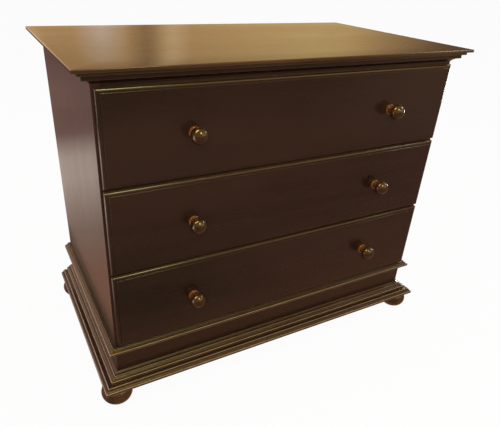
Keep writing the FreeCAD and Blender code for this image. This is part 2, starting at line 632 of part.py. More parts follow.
def make_drawer(number):
    """One drawer: lipped front, dovetailed sides and back, bottom, two knobs and their screws."""
    name = f"drawer_{number}"
    level = DRAWERS - number
    rail_top = opening_floor(level)
    side_z = f"({rail_top} + size.runner_clearance)"
    sides = {}
    for side, mirrored in (("left", False), ("right", True)):
        body = drawer_side(f"{name}_{side}", mirrored)
        x = f"-{BOX_HALF}" if side == "left" else BOX_INNER
        place(body, x, LIP_BACK, side_z, FreeCAD.Vector(0, 0, 1), 90)
        sides[side] = node(body, f"{name}_side_{side}")
    (up, across), width = lipped_board(f"{name}_lip")
    lip_z = f"({rail_top} - size.lip_overlap)"
    place(up, f"{width} / 2", LIP_BACK, lip_z, FreeCAD.Vector(0, 0, 1), 180)
    place(across, f"{width} / 2", LIP_BACK, lip_z, FreeCAD.Vector(0, 0, 1), 180)
    lip = doc.addObject("Part::Common", f"{name}_lip")
    lip.Base = up
    lip.Tool = across
    tongue = board(f"{name}_tongue", (f"-{BOX_HALF}", LIP_BACK, f"{rail_top} + size.tongue_play"),
                   (f"2 * {BOX_HALF}", "size.tongue_thickness", f"{OPENING} - 2 * size.tongue_play"))
    whole = doc.addObject("Part::Fuse", f"{name}_front_blank")
    whole.Base = lip
    whole.Tool = tongue
    groove_half = f"({BOX_INNER} + size.groove_depth)"
    tongue_back = f"{LIP_BACK} + size.tongue_thickness"
    groove = board(f"{name}_front_groove",
                   (f"-{groove_half}", f"{tongue_back} - size.groove_depth", f"{side_z} + size.groove_height"),
                   (f"2 * {groove_half}", "size.groove_depth", "size.box_bottom + size.groove_play"))
    knob_z = f"{lip_z} + size.drawer_height / 2"
    face = f"{LIP_BACK} - size.lip_thickness"
    thickness = "size.lip_thickness + size.tongue_thickness"
    holes = []
    screws = []
    for side, sign in (("left", "-"), ("right", "")):
        x = f"{sign}size.knob_spacing / 2"
        holes.append(drill(f"{name}_hole_{side}", "size.screw_radius + size.screw_play", thickness,
                           (x, tongue_back, knob_z), FreeCAD.Vector(1, 0, 0), 90))
        body = knob(f"{name}_turned_{side}")
        node(place(body, x, face, knob_z, FreeCAD.Vector(1, 0, 0), 90), f"{name}_knob_{side}")
        screw = pan_screw(f"{name}_screw_{side}", "size.screw_radius", f"{thickness} + size.screw_grip",
                          "size.screw_head_radius", "size.screw_head_height")
        screws.append(place(screw, x, tongue_back, knob_z, FreeCAD.Vector(1, 0, 0), -90))
    node(cut(f"{name}_front", whole, sides["left"], sides["right"], groove, *holes), f"{name}_front")
    node(group(f"{name}_screw_set", screws), f"{name}_knob_screws")
    back_z = "(size.groove_height + size.box_bottom + size.groove_play)"
    back_y = f"{LIP_BACK} + size.box_depth - size.box_back"
    back = board(f"{name}_back_blank", (f"-{BOX_HALF}", back_y, f"{side_z} + {back_z}"),
                 (f"2 * {BOX_HALF}", "size.box_back", f"size.box_height - {back_z}"))
    node(cut(f"{name}_rear", back, sides["left"], sides["right"]), f"{name}_back")
    bottom_half = f"({groove_half} - size.groove_play)"
    bottom_y = f"{tongue_back} - size.groove_depth + size.groove_play"
    bottom_depth = "size.box_depth - size.tongue_thickness + size.groove_depth - size.groove_play"
    node(board(f"{name}_floor", (f"-{bottom_half}", bottom_y, f"{side_z} + size.groove_height"),
               (f"2 * {bottom_half}", bottom_depth, "size.box_bottom")), f"{name}_bottom")


make_top()
make_case()
make_mouldings()
make_base()
for drawer in range(1, DRAWERS + 1):
    make_drawer(drawer)
doc.recompute()

for piece in doc.Objects:
    if "Invalid" in piece.State or "Error" in piece.State:
        raise ValueError(f"{piece.Label} failed: {piece.State}")
for piece in nodes:
    if piece.Shape.isNull() or not piece.Shape.isValid():
        raise ValueError(f"{piece.Label} has no valid shape")

os.makedirs("parts", exist_ok=True)
for piece in nodes:
    piece.Shape.exportStep(f"parts/{piece.Label}.step")
print(f"{len(nodes)} sub-parts written")
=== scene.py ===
# %% [markdown]
# # A low chest of three drawers
# This lesson dresses a chest of drawers on bun feet. Its boards, drawers and feet come ready placed as a
# CAD frame, in metres, with +Z up and the drawers opening towards -Y. Blender adds what that frame leaves
# out: edges eased by hand, smooth turnings, stained and lacquered wood, and a quiet studio to see it in.

# %% Load the frame
import json
import math

import bpy
import numpy as np
from mathutils import Matrix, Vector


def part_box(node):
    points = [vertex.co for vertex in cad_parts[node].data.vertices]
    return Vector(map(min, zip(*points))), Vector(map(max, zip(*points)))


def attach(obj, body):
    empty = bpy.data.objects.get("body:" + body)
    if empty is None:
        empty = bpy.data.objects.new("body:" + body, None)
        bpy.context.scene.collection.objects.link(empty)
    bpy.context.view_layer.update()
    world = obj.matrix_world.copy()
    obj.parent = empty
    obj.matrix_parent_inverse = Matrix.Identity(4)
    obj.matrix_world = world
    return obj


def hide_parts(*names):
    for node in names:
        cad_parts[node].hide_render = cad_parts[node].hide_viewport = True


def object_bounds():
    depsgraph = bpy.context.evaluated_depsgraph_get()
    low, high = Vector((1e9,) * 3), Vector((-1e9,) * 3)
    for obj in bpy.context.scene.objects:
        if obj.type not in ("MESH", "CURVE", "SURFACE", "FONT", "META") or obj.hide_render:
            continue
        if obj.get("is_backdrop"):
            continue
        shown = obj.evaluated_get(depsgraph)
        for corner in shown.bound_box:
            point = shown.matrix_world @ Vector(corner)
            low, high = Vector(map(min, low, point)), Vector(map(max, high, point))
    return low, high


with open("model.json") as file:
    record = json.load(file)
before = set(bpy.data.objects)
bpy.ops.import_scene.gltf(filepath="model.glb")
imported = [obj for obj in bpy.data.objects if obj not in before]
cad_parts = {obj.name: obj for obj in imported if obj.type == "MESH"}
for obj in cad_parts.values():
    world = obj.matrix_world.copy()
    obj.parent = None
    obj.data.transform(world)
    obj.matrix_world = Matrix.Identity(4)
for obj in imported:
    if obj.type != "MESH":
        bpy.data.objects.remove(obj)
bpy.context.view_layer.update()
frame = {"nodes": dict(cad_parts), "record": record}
nodes = frame["nodes"]
MM = 0.001
DRAWERS = (1, 2, 3)

# %% [markdown]
# ## Where the case stands
# Every moulding wraps round the case, so three faces of the case place them all: its front edge, its back
# and the outside of its side panels. They are read from the frame and not typed in again.

# %% Faces of the case
side_low, side_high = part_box("side_panel_left")
FRONT = side_low.y
BACK = side_high.y
HALF = -side_low.x
print("case front", round(FRONT, 4), "back", round(BACK, 4), "half width", round(HALF, 4))

# %% [markdown]
# ## Profiles with eased edges
# A cabinet maker never leaves an arris as sharp as the cutter did. A light pass with sandpaper rounds it by
# half a millimetre, and that tiny round is what catches the light along every moulding. A Bevel modifier
# could do it, but then nothing would tell the finish where the edges are. Here the profile itself is
# rounded, and each point carries a number for wear and painted light: 1 on an outer round, where the stain
# is rubbed thin and a highlight is painted in, 0 on the flats, and -1 in an inner corner, where shade is
# painted in. Profiles are drawn in millimetres.

# %% Rounds and arcs of a profile
ARRIS = 0.5
SMOOTH_TURN = math.radians(25)
GREATEST_CUT = 0.35
INNER_FADE = 3


def bow(first, last, centre, steps=10):
    """Points centre + radius * (cos a, sin a), with a turning the short way from first to last."""
    first, last, centre = (np.array(point, float) for point in (first, last, centre))
    (ax, ay), (bx, by) = first - centre, last - centre
    sweep = math.atan2(ax * by - ay * bx, ax * bx + ay * by)
    angle = math.atan2(ay, ax) + sweep * np.linspace(0, 1, steps + 1)
    return centre + math.hypot(ax, ay) * np.column_stack((np.cos(angle), np.sin(angle)))


def soften(corners, radius, closed=True, steps=4, fade=0.5, rub_and_light=0.0):
    """Eases every sharp corner c of a profile and returns its points and their number for rubbing and painted
    light.

    The sides next to c are cut back by a length d, the radius or GREATEST_CUT of the shorter side. The curve
    (1-t)^2 (c + d back) + 2 t (1-t) c + t^2 (c + d ahead) joins the cuts, and the number on it fades out over
    the next stretch of each side, INNER_FADE times as long beside an inner corner. That number is 1 on an
    outer corner, for rubbing and a painted highlight, and -1 on an inner one, for painted shade. A corner
    that turns less than SMOOTH_TURN stays one point, with the number given for it. The sign of the turn
    against the sign of the area tells outer from inner corners.
    """
    c = np.asarray(corners, float)
    rub_and_light = np.broadcast_to(rub_and_light, len(c))
    u, v = c.T
    area = np.sum(u * np.roll(v, -1) - v * np.roll(u, -1))
    back = np.roll(c, 1, axis=0) - c
    ahead = np.roll(c, -1, axis=0) - c
    back_length = np.linalg.norm(back, axis=1)
    ahead_length = np.linalg.norm(ahead, axis=1)
    back /= back_length[:, None]
    ahead /= ahead_length[:, None]
    sharp = np.einsum("ij,ij->i", -back, ahead) < math.cos(SMOOTH_TURN)
    if not closed:
        sharp[[0, -1]] = False
    turn = ahead[:, 0] * back[:, 1] - ahead[:, 1] * back[:, 0]
    # +1 on outer corners for rubbing and a painted highlight, -1 on inner corners for painted shade.
    edge_tone = np.where(sharp, np.sign(turn * area), rub_and_light)
    fade = np.where(edge_tone < 0, INNER_FADE * fade, fade)
    cut = np.where(sharp, np.minimum(radius, GREATEST_CUT * np.minimum(back_length, ahead_length)), 0)
    before = np.minimum(cut + fade, 0.5 * back_length)[:, None, None]
    after = np.minimum(cut + fade, 0.5 * ahead_length)[:, None, None]
    cut = cut[:, None, None]
    t = np.linspace(0, 1, steps + 1)[None, :, None]
    c, back, ahead = c[:, None], back[:, None], ahead[:, None]
    curve = (1 - t) ** 2 * (c + cut * back) + 2 * t * (1 - t) * c + t ** 2 * (c + cut * ahead)
    points = np.concatenate((c + before * back, curve, c + after * ahead), axis=1)
    wear_and_painted_light = np.repeat(rub_and_light[:, None], points.shape[1], axis=1)
    wear_and_painted_light[:, 1:-1] = edge_tone[:, None]
    keep = np.repeat(sharp[:, None], points.shape[1], axis=1)
    keep[:, 1] = True
    return points[keep], wear_and_painted_light[keep]


square = soften([(0, 0), (1, 0), (1, 1), (0, 1)], 0.1)[0]
print("a square with eased corners has", len(square), "points")

# %% [markdown]
# ## One skin for every shape
# All new pieces are the same kind of surface: rings of points, one after the other, joined by quads. A ring
# may be the section of a moulding, the outline of a drawer front or a circle of a turned knob. The first and
# last ring are filled, so each piece is closed, and the sign of its volume tells whether to turn the faces.

# %% Rings into a mesh
CREASE = math.radians(40)


def show(name, data):
    """A new object with its data, linked into the scene."""
    thing = bpy.data.objects.new(name, data)
    bpy.context.scene.collection.objects.link(thing)
    return thing


def skin(name, rings, wear_and_painted_light):
    """A closed mesh from points rings[i, j]: quads join ring i to ring i + 1, and both ends are filled."""
    count, around = rings.shape[:2]
    index = np.arange(count * around).reshape(count, around)
    beside = np.roll(index, -1, axis=1)
    quads = np.stack((index[:-1], beside[:-1], beside[1:], index[1:]), axis=-1).reshape(-1, 4)
    first, last = index[0][::-1], index[-1]
    fans = [np.column_stack((np.full(around - 2, end[0]), end[1:-1], end[2:])) for end in (first, last)]
    points = rings.reshape(-1, 3)
    a, b, c = points[np.vstack((quads[:, :3], quads[:, [0, 2, 3]], *fans))].transpose(1, 0, 2)
    if np.einsum("ij,ij->", a, np.cross(b, c)) < 0:
        quads, first, last = quads[:, ::-1], first[::-1], last[::-1]
    mesh = bpy.data.meshes.new(name)
    mesh.from_pydata(points.tolist(), [], quads.tolist() + [first.tolist(), last.tolist()])
    mesh.polygons.foreach_set("use_smooth", np.ones(len(mesh.polygons), bool))
    mesh.set_sharp_from_angle(angle=CREASE)
    # The attribute holds rubbing with a painted highlight on outer rounds and painted shade in inner corners.
    mesh.attributes.new("wear_and_painted_light", "FLOAT", "POINT").data.foreach_set("value", wear_and_painted_light.astype(np.float32).ravel())
    return show(name, mesh)


def settle(piece, node, material):
    """Puts a new piece in the place of a CAD node: same body, its own finish."""
    record = frame["record"]
    body = next(name for name, members in record["behaviour"]["bodies"].items() if node in members)
    piece.data.materials.append(material)
    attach(piece, body)
    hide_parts(node)
    return piece

# %% [markdown]
# ## Nodes in few words
# A finish is a small network of nodes. The helpers below add a node, set its options and fill its inputs,
# with a plain value or with a wire from another node. Every wood reads Object coordinates, which are the
# same metres as the frame, so the figure of a board stays with it when its drawer slides out.

# %% Node helpers
def fill(tree, node, inputs):
    """Fills a node's inputs: a socket is wired to them, and anything else is set as their value."""
    for socket, value in inputs.items():
        if isinstance(value, bpy.types.NodeSocket):
            tree.links.new(value, node.inputs[socket])
        else:
            node.inputs[socket].default_value = value


def add(tree, kind, inputs=None, **options):
    """One node of a tree, with its options set and its inputs filled."""
    node = tree.nodes.new(kind)
    for option, value in options.items():
        setattr(node, option, value)
    fill(tree, node, inputs or {})
    return node


def maths(tree, operation, a, b=0.0, clamp=False):
    """The result of one Math node on a and b, held in 0..1 where clamp is set."""
    return add(tree, "ShaderNodeMath", {0: a, 1: b}, operation=operation, use_clamp=clamp).outputs[0]


def times(tree, first, *others):
    """The product of two or more values."""
    for other in others:
        first = maths(tree, "MULTIPLY", first, other)
    return first


def blend(tree, share, first, second):
    """Mixes two colours: share 0 gives the first and share 1 the second."""
    # A Mix node has its colours at inputs 6 and 7 and at output 2. The others are for numbers and vectors.
    return add(tree, "ShaderNodeMix", {0: share, 6: first, 7: second}, data_type="RGBA").outputs[2]


def between(tree, value, low, high, to_low=0.0, to_high=1.0):
    """Maps the range low..high to to_low..to_high, held at its ends."""
    inputs = {0: value, 1: low, 2: high, 3: to_low, 4: to_high}
    return add(tree, "ShaderNodeMapRange", inputs, clamp=True).outputs[0]


def blank(name):
    """A new material with no nodes, and its tree."""
    material = bpy.data.materials.new(name)
    material.use_nodes = True
    material.node_tree.nodes.clear()
    return material, material.node_tree

# %% [markdown]
# ## What all the finishes share
# Wood is noise drawn out along the grain. The contour lines of a slow noise make the arches that growth
# rings draw along a board: the sine of the noise, times the number of rings. A fine noise makes fibres and
# pores, which also press a shallow relief into the surface.

# %% Figure, rings and relief
NOISE_ROUGHNESS = 0.55


def figure(tree, axis, along, across, detail, shift=(0, 0, 0)):
    """Noise drawn out along the grain: along and across are its lumps per metre each way."""
    scale = [across] * 3
    scale["XYZ".index(axis)] = along
    place = add(tree, "ShaderNodeTexCoord").outputs["Object"]
    place = add(tree, "ShaderNodeMapping", {"Vector": place, "Location": shift, "Scale": scale}).outputs[0]
    inputs = {"Vector": place, "Scale": 1.0, "Detail": detail, "Roughness": NOISE_ROUGHNESS}
    return add(tree, "ShaderNodeTexNoise", inputs).outputs[0]


def contours(tree, slow, rings):
    """Growth rings from a slow noise: (1 + sin(rings * noise)) / 2."""
    return between(tree, maths(tree, "SINE", times(tree, slow, rings)), -1.0, 1.0)


def relief(tree, height, strength, distance):
    """The bent normal of a surface whose height, from 0 to 1, stands for a distance in metres."""
    inputs = {"Height": height, "Strength": strength, "Distance": distance}
    return add(tree, "ShaderNodeBump", inputs).outputs[0]


def wear_and_painted_light_of(tree):
    """The number that soften gave each point: 1 on edges with rubbing and painted highlight, -1 in corners
    with painted shade.
    """
    return add(tree, "ShaderNodeAttribute", attribute_name="wear_and_painted_light").outputs["Fac"]


def new_finish(name):
    """A new material with a Principled shader, its tree and that shader."""
    material, tree = blank(name)
    shader = add(tree, "ShaderNodeBsdfPrincipled")
    add(tree, "ShaderNodeOutputMaterial", {"Surface": shader.outputs[0]})
    return material, tree, shader


print("helpers ready, noise roughness", NOISE_ROUGHNESS)

# %% [markdown]
# ## Stained wood
# The chest is stained almost black-brown and lacquered to a satin. Under the stain the figure of the wood is
# still there: broad arches, fine fibres, and pores that hold more stain. Along the eased edges the stain is
# rubbed thin and a golden highlight is painted over it, so the edges show lighter and more golden, while
# inner corners get painted shade and lose their shine. A thin clear coat over it all gives the small sharp
# glints. The mouldings of the base have lost most of that coat to dusters and shoes, so their finish is
# rougher and drier, and the top is dull on its edges.

# %% Stained wood finish
PORE_STAIN = (0.006, 0.0032, 0.0022, 1)
# Painted shade laid into inner corners.
PAINTED_CORNER_SHADE = (0.005, 0.0028, 0.002, 1)
# Lighter golden edge colour: rubbed wood and a painted highlight.
GOLD_RUB_AND_HIGHLIGHT = (0.24, 0.15, 0.06, 1)
LACQUER_TINT = (1.0, 0.86, 0.66, 1)


def stained(name, axis, dark, light, rough, thin=0.85, edge_tone=GOLD_RUB_AND_HIGHLIGHT, open_grain=0.16, coat=0.5, dull=0.0):
    """Dark lacquered wood with its grain along one axis.

    On edges thin is how far the lighter edge colour shows, for rubbing and a painted highlight, and dull how
    far the lacquer has lost its gloss there, which is 1 - (0.7 * painted inner shade + dull * edge share).
    """
    material, tree, shader = new_finish(name)
    arches = contours(tree, figure(tree, axis, 0.7, 5.5, 2.0), 34.0)
    patches = figure(tree, axis, 2.2, 6.0, 3.0, (3.1, 1.7, 5.3))
    fibres = figure(tree, axis, 9.0, 420.0, 4.0)
    pores = between(tree, figure(tree, axis, 26.0, 900.0, 2.0), 0.60, 0.72)
    share = maths(tree, "ADD", times(tree, arches, 0.42), between(tree, fibres, 0.3, 0.7, 0.0, 0.30))
    share = maths(tree, "ADD", share, between(tree, patches, 0.38, 0.66, -0.18, 0.42), clamp=True)
    colour = blend(tree, share, dark, light)
    colour = blend(tree, times(tree, pores, 0.55), colour, PORE_STAIN)
    edge = wear_and_painted_light_of(tree)
    # Edges: rubbed wood with a painted highlight over it.
    rubbed_and_lit = between(tree, figure(tree, axis, 30.0, 60.0, 3.0, (1.9, 4.4, 0.6)), 0.35, 0.65, 0.72, 1.0)
    rubbed_and_lit = times(tree, between(tree, edge, 0.0, 1.0), rubbed_and_lit)
    # Inner corners: painted shade, which also dulls the gloss.
    corner_shade = between(tree, edge, 0.0, -1.0)
    colour = blend(tree, times(tree, rubbed_and_lit, thin), colour, edge_tone)
    colour = blend(tree, times(tree, corner_shade, 0.6), colour, PAINTED_CORNER_SHADE)
    satin = between(tree, patches, 0.3, 0.7, rough - 0.05, rough + 0.06)
    satin = maths(tree, "ADD", satin, times(tree, pores, 0.08))
    satin = maths(tree, "ADD", satin, times(tree, corner_shade, 0.15))
    lost = maths(tree, "ADD", times(tree, corner_shade, 0.7), times(tree, rubbed_and_lit, dull))
    gloss = maths(tree, "SUBTRACT", 1.0, lost, clamp=True)
    height = maths(tree, "SUBTRACT", times(tree, fibres, 0.5), pores)
    fill(tree, shader, {
        "Base Color": colour, "Roughness": satin, "Normal": relief(tree, height, open_grain, 0.00025),
        "Specular IOR Level": times(tree, gloss, 0.5), "Specular Tint": LACQUER_TINT,
        "Coat Weight": times(tree, gloss, coat), "Coat Roughness": 0.08})
    return material


DARK, LIGHT = (0.0135, 0.0054, 0.0034, 1), (0.0215, 0.0088, 0.0054, 1)
front_wood = stained("stained_wood_across", "X", DARK, LIGHT, rough=0.27)
# Its edges take a painted golden highlight along with the wear.
base_wood = stained("stained_wood_of_the_base", "X", DARK, LIGHT, rough=0.42, edge_tone=(0.33, 0.22, 0.10, 1),
                    coat=0.08)
# Its pale edge colour is mostly a painted highlight on the end runs, with some wear.
depth_wood = stained("stained_wood_front_to_back", "Y", (0.014, 0.0055, 0.0042, 1), (0.036, 0.014, 0.0105, 1),
                     rough=0.3, edge_tone=(0.60, 0.41, 0.335, 1))
side_wood = stained("stained_wood_upright", "Z", (0.016, 0.006, 0.0047, 1), (0.050, 0.018, 0.014, 1),
                    rough=0.33, open_grain=0.3)
# The top's colours are lighter than the other boards' partly as a painted sheen.
top_wood_with_painted_sheen = stained("polished_top_wood_with_painted_sheen", "X", (0.032, 0.0145, 0.0062, 1), (0.085, 0.039, 0.016, 1),
                   rough=0.22, thin=0.2, dull=0.95)
print("stained woods:", front_wood.name, base_wood.name, depth_wood.name, side_wood.name, top_wood_with_painted_sheen.name)

# %% [markdown]
# ## Turned wood
# Knobs and feet were turned on a lathe and polished brighter than the boards. The grain runs along the axis
# of the lathe. Where they are marked an orange is painted in: a painted amber highlight on the collars and
# necks of the knobs and a painted reflection of the floor low on the feet, each with some rubbed wood. A
# clear coat gives the sharp reflections.

# %% Turned wood finish
# Orange of the knob collars, necks and low feet: painted highlight and floor reflection, with rubbed wood.
ORANGE_RUB_AND_HIGHLIGHT = (0.30, 0.092, 0.013, 1)
POLISH_TINT = (1.0, 0.82, 0.55, 1)


def polished(name, axis, dark, light, rough):
    """Glossy stained wood with its grain along the lathe's axis."""
    material, tree, shader = new_finish(name)
    slow = figure(tree, axis, 8.0, 40.0, 2.0)
    fibres = figure(tree, axis, 30.0, 700.0, 3.0)
    share = maths(tree, "ADD", times(tree, contours(tree, slow, 16.0), 0.6), times(tree, fibres, 0.4))
    # Painted highlight and reflection in orange, with rubbed wood, where the pieces are marked.
    rubbed_and_lit = times(tree, between(tree, wear_and_painted_light_of(tree), 0.0, 1.0), 0.6)
    fill(tree, shader, {
        "Base Color": blend(tree, rubbed_and_lit, blend(tree, share, dark, light), ORANGE_RUB_AND_HIGHLIGHT),
        "Roughness": between(tree, slow, 0.3, 0.7, rough, rough + 0.08),
        "Normal": relief(tree, fibres, 0.12, 0.0002),
        "Specular Tint": POLISH_TINT, "Coat Weight": 0.9, "Coat Roughness": 0.05})
    return material


knob_wood = polished("polished_knob_wood", "Y", (0.009, 0.0032, 0.0015, 1), (0.036, 0.012, 0.0042, 1),
                     rough=0.2)
foot_wood = polished("polished_foot_wood", "Z", (0.014, 0.0055, 0.003, 1), (0.058, 0.023, 0.010, 1),
                     rough=0.3)
print("turned woods:", knob_wood.name, foot_wood.name)

# %% [markdown]
# ## Wood that nobody stained
# Drawer boxes, runners and glue blocks are left bare inside, and the case bottom, the back panel and the
# drawer bottoms are thin plywood. The same noises serve, paler and drier, with no lacquer over them.

# %% Bare wood finish
SOIL = (0.16, 0.10, 0.055, 1)


def bare(name, axis, dark, light, rings, rough):
    """Unfinished pale wood with its grain along one axis."""
    material, tree, shader = new_finish(name)
    arches = contours(tree, figure(tree, axis, 0.9, 8.0, 2.0, (0.4, 0.9, 0.2)), rings)
    fibres = figure(tree, axis, 14.0, 500.0, 4.0)
    share = maths(tree, "ADD", times(tree, arches, 0.55), times(tree, fibres, 0.45))
    soiled = between(tree, figure(tree, axis, 4.0, 9.0, 4.0, (7.0, 2.0, 1.0)), 0.5, 0.75, 0.0, 0.35)
    fill(tree, shader, {
        "Base Color": blend(tree, soiled, blend(tree, share, light, dark), SOIL),
        "Roughness": between(tree, fibres, 0.3, 0.7, rough - 0.08, rough + 0.1),
        "Normal": relief(tree, fibres, 0.3, 0.0003), "Specular IOR Level": 0.25})
    return material


PINE = {"dark": (0.33, 0.19, 0.085, 1), "light": (0.52, 0.35, 0.18, 1), "rings": 46.0, "rough": 0.62}
PLY = {"dark": (0.26, 0.155, 0.075, 1), "light": (0.40, 0.26, 0.135, 1), "rings": 24.0, "rough": 0.56}
inner_across = bare("bare_wood_across", "X", **PINE)
inner_depth = bare("bare_wood_front_to_back", "Y", **PINE)
inner_upright = bare("bare_wood_upright", "Z", **PINE)
ply_across = bare("plywood_across", "X", **PLY)
ply_upright = bare("plywood_upright", "Z", **PLY)
print("bare woods:", inner_across.name, inner_depth.name, inner_upright.name, ply_across.name,
      ply_upright.name)

# %% [markdown]
# ## Steel screws
# The knobs are pulled up by screws from inside the drawer, and the back panel is screwed on. Their heads are
# zinc plated: a grey metal with faint scratches and darker spots where the plating has dulled.

# %% Steel finish
def zinc(name):
    """Dulled zinc plating on small screw heads."""
    material, tree, shader = new_finish(name)
    cloud = figure(tree, "X", 260.0, 260.0, 4.0)
    scratch = figure(tree, "Z", 300.0, 2600.0, 2.0)
    fill(tree, shader, {
        "Base Color": blend(tree, cloud, (0.34, 0.34, 0.32, 1), (0.62, 0.61, 0.58, 1)), "Metallic": 1.0,
        "Roughness": between(tree, cloud, 0.3, 0.7, 0.26, 0.5),
        "Normal": relief(tree, scratch, 0.15, 0.0001)})
    return material


steel = zinc("zinc_plated_steel")
print("metal:", steel.name)

# %% [markdown]
# ## The top board
# The top is one wide board with a square upper edge and a second, lower edge set back under it, on the front
# and both ends. Seen from above, each level of its edge is a rectangle, so the board is a stack of
# rectangular rings, each at its own height and drawn in by its own inset. At the back the edge is plain.

# %% Rectangles as rings
FIELD = 60
TIGHTEST = 0.15


def rectangles(low_u, high_u, low_v, high_v, corner, steps=3):
    """Rings of rectangles with rounded corners: corner centre + radius * (cos a, sin a), a quarter each."""
    low_u, high_u, low_v, high_v, corner = np.broadcast_arrays(low_u, high_u, low_v, high_v, corner)
    quarter = np.radians(np.linspace(0, 90, steps + 1))
    angle = (np.radians([0, 90, 180, 270])[:, None] + quarter).ravel()
    right = np.repeat([True, False, False, True], steps + 1)
    upper = np.repeat([True, True, False, False], steps + 1)
    radius = corner[:, None]
    u = np.where(right, high_u[:, None] - radius, low_u[:, None] + radius) + radius * np.cos(angle)
    v = np.where(upper, high_v[:, None] - radius, low_v[:, None] + radius) + radius * np.sin(angle)
    return u, v, angle


def top_board():
    """The moulded top: rings at (inset, height) of its softened edge profile, plain at the back."""
    low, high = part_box("top_board")
    deep = (high.z - low.z) / MM
    step_in, step_up, nose, corner_round, level = 10, 6.8, 1.6, 0.9, 0.1
    edge = np.vstack(([(FIELD, 0), (step_in, 0), (step_in, step_up), (0, step_up), (0, deep - nose)],
                      bow((0, deep - nose), (nose, deep), (nose, deep - nose), 6)[1:], [(FIELD, deep)]))
    points, wear_and_painted_light = soften(edge, ARRIS, closed=False)
    inset, height = points.T * MM
    outermost = (height < level * MM) | (height > (deep - level) * MM)
    behind = np.where(inset > FIELD / 3 * MM, inset, np.where(outermost, ARRIS * MM, 0))
    corner = np.maximum(corner_round * MM - inset, TIGHTEST * MM)
    x, y, _ = rectangles(low.x + inset, high.x - inset, low.y + inset, high.y - behind, corner)
    z = np.broadcast_to((low.z + height)[:, None], x.shape)
    return skin("polished_top", np.stack((x, y, z), axis=-1), np.repeat(wear_and_painted_light, x.shape[1]))


top = settle(top_board(), "top_board", top_wood_with_painted_sheen)
print("top board:", len(top.data.polygons), "faces")

# %% [markdown]
# ## Mouldings round three sides
# Cornice, waist moulding, base cap and base frame are lengths of moulded wood that run along the front and
# both ends and meet in mitres at the front corners. A moulding is a profile carried along a straight path.
# At a mitred end, a point that stands out by p is also carried on by p, and that makes the 45 degree cut.

# %% A mitred run
MITRE_STEPS = np.array((0, 0.9, 2.2, 3.2))
MITRE_EASE = np.array((1.0, 0.3, 0, 0))
MIDDLE = np.linspace(0, 1, 9)[1:-1]
FRONT_FALL, END_FALL = 1.2, 0.6


def mitred_run(name, profile, start, end, outward, mitres, ease, arris_wear_and_highlight, fall):
    """Carries a profile (p out, h up) along a path, mitred at the ends where mitres is 1.

    Point at share s: start + along * (s * length + p * (m1 * s - m0 * (1 - s))) + outward * q + up * h, where
    q is p, less up to a millimetre in the last stretch before a mitre, so its corner is eased too. The
    arrises that stand out furthest get the most rubbing and painted highlight, by (p / greatest p) to the
    power of fall.
    """
    points, wear_and_painted_light = soften(profile, ease)
    p, h = (points * MM).T
    # The outer arrises get the most wear and painted highlight.
    wear_and_painted_light = np.where(wear_and_painted_light > 0, arris_wear_and_highlight * wear_and_painted_light * (p / p.max()).clip(0) ** fall, wear_and_painted_light)
    start, end, outward = (np.array(vector, float) for vector in (start, end, outward))
    length = np.linalg.norm(end - start)
    along = (end - start) / length
    near = MITRE_STEPS * MM / length
    s = np.concatenate((near, MIDDLE, 1 - near[::-1]))[:, None]
    travel = s * length + p * (mitres[1] * s - mitres[0] * (1 - s))
    drawn = MITRE_EASE * MM
    drawn = np.concatenate((mitres[0] * drawn, np.zeros(len(MIDDLE)), mitres[1] * drawn[::-1]))[:, None]
    out = p - drawn * (p > ARRIS * MM)
    rings = start + travel[..., None] * along + out[..., None] * outward + h[:, None] * np.array((0, 0, 1))
    return skin(name, rings, np.tile(wear_and_painted_light, len(s)))


def three_runs(name, profile, ease, arris_wear_and_highlight, wood):
    """The same moulding along the front, the left end and the right end of the case."""
    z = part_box(f"{name}_front")[0].z
    left, right = (-HALF, FRONT, z), (HALF, FRONT, z)
    runs = {"front": (left, right, (0, -1, 0), (1, 1), FRONT_FALL, wood),
            "left": (left, (-HALF, BACK, z), (-1, 0, 0), (1, 0), END_FALL, depth_wood),
            "right": (right, (HALF, BACK, z), (1, 0, 0), (1, 0), END_FALL, depth_wood)}
    for side, (start, end, outward, mitres, fall, finish) in runs.items():
        run = mitred_run(f"{name}_run_{side}", profile, start, end, outward, mitres, ease, arris_wear_and_highlight, fall)
        settle(run, f"{name}_{side}", finish)
    print(name, "has", len(profile), "profile points and", len(run.data.polygons), "faces on each run")

# %% [markdown]
# The cornice is a flat fascia over a hollow, and the waist moulding a small nose with a hollow slope above.
# The base cap climbs from its nose in two hollows to the plinth, and the base frame below has one such slope
# on its upper edge. Each slope ends in a crisp arris, and those, with wear and a painted highlight on them,
# draw the bright lines round the base.

# %% Profiles of the mouldings
cornice = np.vstack(([(0, 0)], bow((1, 0), (16.2, 8), (16.2, -10.44)), [(16.2, 16.6), (0, 16.6)]))
waist = np.vstack(([(0, 0), (16.8, 0)], bow((16.8, 5.5), (7.5, 11), (21.422, 23.931), 4),
                   [(7.5, 12.5), (0, 12.5)]))
base_cap = np.vstack(([(0, 0), (20, 0)], bow((20, 5.8), (10, 12.7), (23.406, 21.434), 4),
                      bow((10, 12.7), (1.5, 17.5), (10, 22.626), 4)[1:], [(0, 17.5)]))
base_frame = np.vstack(([(-42.5, 0), (37.5, 0)], bow((37.5, 6.5), (29.5, 14.5), (42.555, 19.555), 4),
                        [(-42.5, 14.5)]))
three_runs("cornice", cornice, ease=0.5, arris_wear_and_highlight=0.15, wood=front_wood)
three_runs("waist_moulding", waist, ease=0.9, arris_wear_and_highlight=1.0, wood=base_wood)
three_runs("base_cap", base_cap, ease=0.9, arris_wear_and_highlight=1.0, wood=base_wood)
three_runs("base_frame", base_frame, ease=1.0, arris_wear_and_highlight=1.0, wood=base_wood)

